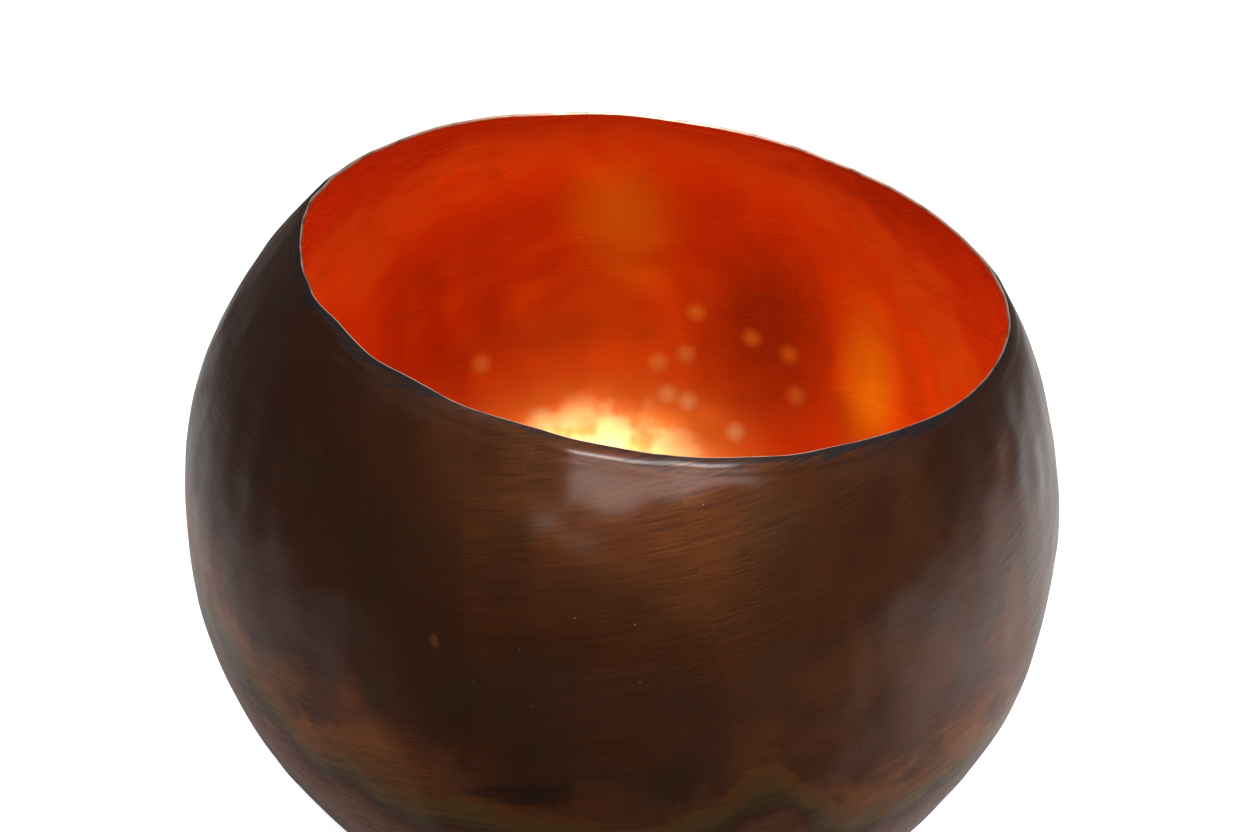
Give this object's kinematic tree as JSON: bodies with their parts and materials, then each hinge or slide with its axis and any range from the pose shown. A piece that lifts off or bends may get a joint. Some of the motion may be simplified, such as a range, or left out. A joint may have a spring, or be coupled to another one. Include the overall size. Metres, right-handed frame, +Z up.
{
  "type": "hammered copper bowl",
  "caption": "Near-spherical hammered copper bowl with a wide slanted mouth, a small hammered flat to stand on and felt dots under it.",
  "frame": {"origin": "on the resting plane, the felt dots' lower faces, under the middle of the hammered flat", "axes": "+Z up, the bowl's shortest extent; the mouth slopes down towards +X; -Y is the front; the shape is a mirror image of itself across the XZ plane"},
  "size_m": [0.18, 0.18, 0.1504],
  "materials": {
    "patinated_copper": "sheet copper: waxed dark brown heat patina outside, bright orange-red copper inside",
    "felt": "dense pressed felt"
  },
  "bodies": {
    "root": {"bowl_body": "patinated_copper", "felt_pad_right": "felt", "felt_pad_rear": "felt", "felt_pad_front": "felt"}
  },
  "joints": []
}
